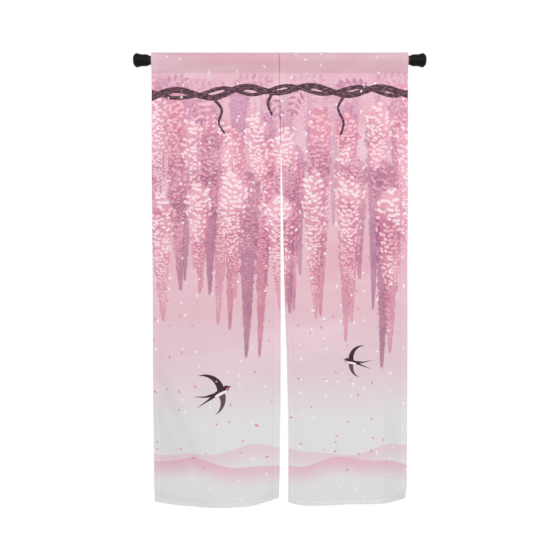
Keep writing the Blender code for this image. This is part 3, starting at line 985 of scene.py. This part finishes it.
def paint_motifs(cloth, panel, row, column):
    across = panel.print_across[row, column]
    down = panel.print_down[row, column]
    vine = np.min([stroke_gap(across, down, points) for points in VINES], axis=0)
    leaf, tone = leaf_gaps(across, down)
    for name, values in (("vine", vine), ("leaf", leaf), ("leaf_tone", tone)):
        layer = cloth.data.attributes.new(name, "FLOAT", "POINT")
        layer.data.foreach_set("value", np.tile(values, 2).astype(np.float32))


# Stitches
def line_on_cloth(cloth, numbers):
    """Places and outward directions of the mesh's points with these numbers, in order."""
    places = np.array([cloth.data.vertices[number].co for number in numbers])
    directions = np.array([cloth.data.vertices[number].normal for number in numbers])
    return places, directions


def sew(line, pitch=0.0036, length=0.0030, half_width=0.00028):
    """Middles and half sizes of a line's stitches: each is one small rounded bar, half sunk in the cloth."""
    places, directions = line
    steps = np.concatenate([[0.0], np.cumsum(np.linalg.norm(np.diff(places, axis=0), axis=1))])
    starts = np.arange(0.0006, steps[-1] - length, pitch)

    def at(where, values):
        return np.stack([np.interp(where, steps, values[:, axis]) for axis in range(3)], axis=1)

    first = at(starts, places)
    second = at(starts + length, places)
    along = (second - first) / 2
    side = unit(np.cross(along, at(starts, directions)))
    out = unit(np.cross(side, along))
    middle = (first + second) / 2 + out * half_width * 0.35
    return middle, along, side * half_width, out * half_width * 0.8


def make_stitches(name, lines, material):
    """All the stitches of a panel as one mesh, each a copy of one small bar."""
    deselect_all()
    bpy.ops.mesh.primitive_ico_sphere_add(subdivisions=1, radius=1.0)
    bar = bpy.context.object
    corners = np.array([point.co for point in bar.data.vertices])
    faces = np.array([list(face.vertices) for face in bar.data.polygons])
    points = []
    for line in lines:
        for middle, along, side, out in zip(*sew(line)):
            bar_along = corners[:, :1] * along * 1.05
            points.append(middle + bar_along + corners[:, 1:2] * side + corners[:, 2:] * out)
    count = len(points)
    points = np.concatenate(points)
    all_faces = (faces[None] + len(corners) * np.arange(count)[:, None, None]).reshape(-1, 3)
    mesh = bpy.data.meshes.new(name)
    mesh.from_pydata(points.tolist(), [], all_faces.tolist())
    mesh.shade_smooth()
    mesh.materials.append(material)
    old = bar.data
    bar.data = mesh
    bar.name = name
    bpy.data.meshes.remove(old)
    return bar


def nearest(places, wanted):
    return int(np.argmin(np.abs(places - wanted)))


def stitch_lines(cloth, panel, row, column, count):
    """The sewn lines of a panel, on its face and its wrong side."""
    face = np.empty(panel.shape, dtype=int)
    face[row, column] = np.arange(count)
    back = count + face
    heights = panel.height[:, 0]
    hem_columns = [nearest(panel.columns, place) for place in (SIDE_HEM, PANEL_WIDTH - SIDE_HEM)]
    hem_row = nearest(heights, BOTTOM_HEM)
    pocket_row = panel.hanging_rows - 1
    back_row = nearest(heights, HANG_LENGTH + POCKET_ALONG[-1] - POCKET_ALLOWANCE)
    runs = []
    for hem_column in hem_columns:
        runs.append(face[hem_row:, hem_column])
        runs.append(back[hem_row : pocket_row - 8, hem_column])
    inside = slice(hem_columns[0], hem_columns[1] + 1)
    runs += [face[hem_row, inside], back[hem_row, inside], face[pocket_row, 2:-2], face[back_row, 2:-2]]
    return [line_on_cloth(cloth, run) for run in runs]


# The rubber end caps: a row is (how far along from the outer face, radius)
CAP_FLAT_RADIUS = 0.0150
CAP_FLARE_RADIUS = 0.0230
CAP_RIM = 0.0080
CAP_LENGTH = 0.0510
CAP_SOCKET_DEPTH = 0.0320
CAP_SOCKET_LIP = 0.0006
CAP_FACE = (
    (0.0008, 0.0016), (0.0000, 0.0022), (0.0000, 0.0052), (0.0005, 0.0056), (0.0005, 0.0064),
    (0.0000, 0.0068), (0.0000, 0.0098), (0.0005, 0.0102), (0.0005, 0.0110), (0.0000, 0.0114),
    (0.0000, 0.0144),
)
CAP_SIDE = (
    (0.0082, 0.02285), (0.0092, 0.0230), (0.0104, 0.0230), (0.0120, 0.0228), (0.0160, 0.0218),
    (0.0200, 0.0206), (0.0240, 0.0197), (0.0280, 0.0193), (0.0340, 0.0192), (0.0400, 0.0193),
    (0.0440, 0.0187), (0.0480, 0.0172), (0.0502, 0.0163), (CAP_LENGTH, 0.0158), (CAP_LENGTH, 0.0153),
)


def cap_rows():
    dome = []
    for share in np.linspace(0.0, 0.92, 11):
        out = CAP_FLAT_RADIUS + (CAP_FLARE_RADIUS - CAP_FLAT_RADIUS) * share
        dome.append((CAP_RIM * share**1.2, out))
    bore = ROD_RADIUS + CLEARANCE
    socket = ((CAP_LENGTH - CAP_SOCKET_LIP, bore), (CAP_LENGTH - CAP_SOCKET_DEPTH, bore))
    return [*CAP_FACE, *dome, *CAP_SIDE, *socket]


def make_cap(name, x, turn, material):
    """A turned rubber cap: a disc extruded and sized from row to row, out along its face, down its side and
    up its socket."""
    rows = cap_rows()
    along, radius = rows[0]
    deselect_all()
    bpy.ops.mesh.primitive_circle_add(
        vertices=72, radius=radius, fill_type="NGON", location=(0.0, 0.0, -along)
    )
    cap = bpy.context.object
    cap.name = name
    cap.data.name = name
    bpy.ops.object.transform_apply()
    bpy.ops.object.mode_set(mode="EDIT")
    bpy.ops.mesh.select_all(action="SELECT")
    for next_along, next_radius in rows[1:]:
        move = {"value": (0.0, 0.0, along - next_along)}
        bpy.ops.mesh.extrude_region_move(TRANSFORM_OT_translate=move)
        size = next_radius / radius
        bpy.ops.transform.resize(value=(size, size, 1.0))
        along, radius = next_along, next_radius
    bpy.ops.mesh.select_all(action="SELECT")
    bpy.ops.mesh.normals_make_consistent(inside=False)
    bpy.ops.object.mode_set(mode="OBJECT")
    cap.rotation_euler = (0.0, turn, 0.0)
    cap.location = (x, 0.0, 0.0)
    select_only(cap)
    bpy.ops.object.transform_apply()
    bpy.ops.object.shade_smooth_by_angle(angle=math.radians(38))
    cap.data.materials.append(material)
    return cap


RUBBER_DARK = (0.004, 0.0035, 0.003, 1.0)
RUBBER_PALE = (0.010, 0.008, 0.007, 1.0)
PAINT_DARK = (0.012, 0.004, 0.006, 1.0)
PAINT_PALE = (0.022, 0.008, 0.010, 1.0)
THREAD_PINK = dye(232, 186, 200)
THREAD_PALE = dye(224, 220, 222)


def rubber_finish():
    finish = Finish("moulded black rubber", 0.5, {"Specular IOR Level": 0.12})
    place = finish.own_place()
    cloud = finish.solid_noise(place, 90.0, 3.0)
    speck = finish.solid_noise(place, 1400.0, 2.0)
    finish.link(finish.mix(cloud.over(0.5, 0.5), RUBBER_DARK, RUBBER_PALE), "Base Color")
    finish.link(0.36 + cloud * 0.16 + speck * 0.06, "Roughness")
    finish.bump(speck, 0.25, 0.0002)
    return finish.material


def rod_finish():
    finish = Finish("black painted steel", 0.3, {"Specular IOR Level": 0.20})
    place = finish.own_place()
    along, aside, up = finish.parts(place)
    drawn = finish.solid_noise(finish.joined(along * 12.0, aside * 900.0, up * 900.0), 1.0, 2.0)
    cloud = finish.solid_noise(place, 60.0, 3.0)
    finish.link(finish.mix(cloud.over(0.5, 0.6), PAINT_DARK, PAINT_PALE), "Base Color")
    finish.link(0.24 + drawn * 0.10 + cloud * 0.08, "Roughness")
    finish.bump(drawn, 0.12, 0.0001)
    return finish.material


def thread_finish():
    finish = Finish("sewing thread", 0.6, {"Sheen Weight": 0.1, "Specular IOR Level": 0.35})
    place = finish.own_place()
    _, _, up = finish.parts(place)
    twist = finish.solid_noise(place, 2600.0, 1.0)
    level = (CREST_HEIGHT - up) * (1.0 / CLOTH_DROP)
    tone = finish.mix(level.over(0.75, 0.25), THREAD_PINK, THREAD_PALE)
    finish.link(finish.scaled(tone, 0.88 + twist * 0.22), "Base Color")
    finish.link(0.5 + twist * 0.2, "Roughness")
    finish.bump(twist, 0.3, 0.0002)
    return finish.material


# Stage: floor, light and camera
WHITE = (1.0, 1.0, 1.0, 1.0)
FLOOR_GREY = (0.80, 0.80, 0.80, 1.0)
FLOOR_SIZE = 14.0
FLOOR_HEIGHT = -1.80
SKY_LIGHT = 0.72
LAMP_SIZE = (2.4, 1.6)
LAMP_AIM = Vector((MIDDLE_X, 0.0, -0.65))
LAMPS = (("key light", (0.80, -2.70, 0.65), 26.5), ("back light", (0.90, 2.40, 0.80), 26.0))
CAMERA_PLACE = (0.4848, -2.5, -0.7288)
CAMERA_LENS = 48.46
CAMERA_SENSOR = 36.0


def make_stage():
    scene = bpy.context.scene
    scene.view_settings.view_transform = "Standard"
    world = bpy.data.worlds.new("pale studio")
    scene.world = world
    world.use_nodes = True
    sky = Nodes(world.node_tree)
    sky.tree.nodes.clear()
    lighting = sky.node("ShaderNodeBackground", None, {0: WHITE, 1: SKY_LIGHT})
    backdrop = sky.node("ShaderNodeBackground", None, {0: WHITE, 1: 1.0})
    sky.node("ShaderNodeOutputWorld", None, {0: sky.lit_or_seen(lighting, backdrop)})

    deselect_all()
    bpy.ops.mesh.primitive_plane_add(size=FLOOR_SIZE, location=(MIDDLE_X, 0.0, FLOOR_HEIGHT))
    floor = bpy.context.object
    floor.name = "floor"
    pale = Finish("pale floor", 0.9, {"Base Color": FLOOR_GREY})
    glow = pale.node("ShaderNodeEmission", None, {"Color": WHITE, "Strength": 1.0})
    surface = pale.tree.nodes["Material Output"].inputs[0]
    pale.tree.links.new(pale.lit_or_seen(pale.shader, glow), surface)
    floor.data.materials.append(pale.material)

    for name, place, power in LAMPS:
        data = bpy.data.lights.new(name, "AREA")
        data.shape = "RECTANGLE"
        data.size, data.size_y = LAMP_SIZE
        data.energy = power
        lamp = bpy.data.objects.new(name, data)
        bpy.context.collection.objects.link(lamp)
        lamp.location = place
        lamp.rotation_euler = (LAMP_AIM - Vector(place)).to_track_quat("-Z", "Y").to_euler()
        lamp.visible_camera = False


def make_camera():
    data = bpy.data.cameras.new("camera")
    data.sensor_width = CAMERA_SENSOR
    data.lens = CAMERA_LENS
    camera = bpy.data.objects.new("camera", data)
    bpy.context.collection.objects.link(camera)
    camera.location = CAMERA_PLACE
    camera.rotation_euler = (math.pi / 2, 0.0, 0.0)
    bpy.context.scene.camera = camera


def main():
    make_camera()
    make_stage()
    printed, wrong_side = print_cloth()
    thread = thread_finish()
    panels = (
        Panel("left", LEFT_EDGES, LEFT_HEM, LEFT_FOLDS, LEFT_CURLS),
        Panel("right", RIGHT_EDGES, RIGHT_HEM, RIGHT_FOLDS, RIGHT_CURLS),
    )
    for panel in panels:
        cloth, row, column, count = make_cloth(panel, printed, wrong_side)
        paint_motifs(cloth, panel, row, column)
        lines = stitch_lines(cloth, panel, row, column, count)
        stitches = make_stitches("stitches_" + panel.side, lines, thread)
        for piece in (cloth, stitches):
            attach(piece, "root")
        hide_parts("panel_" + panel.side)
    rod = bpy.data.objects["rod"]
    rod.data.materials.clear()
    rod.data.materials.append(rod_finish())
    rubber = rubber_finish()
    for side, x, turn in (("left", 0.0, -math.pi / 2), ("right", OVERALL_LENGTH, math.pi / 2)):
        cap = make_cap("rubber_cap_" + side, x, turn, rubber)
        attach(cap, "root")
        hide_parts("cap_" + side)


main()
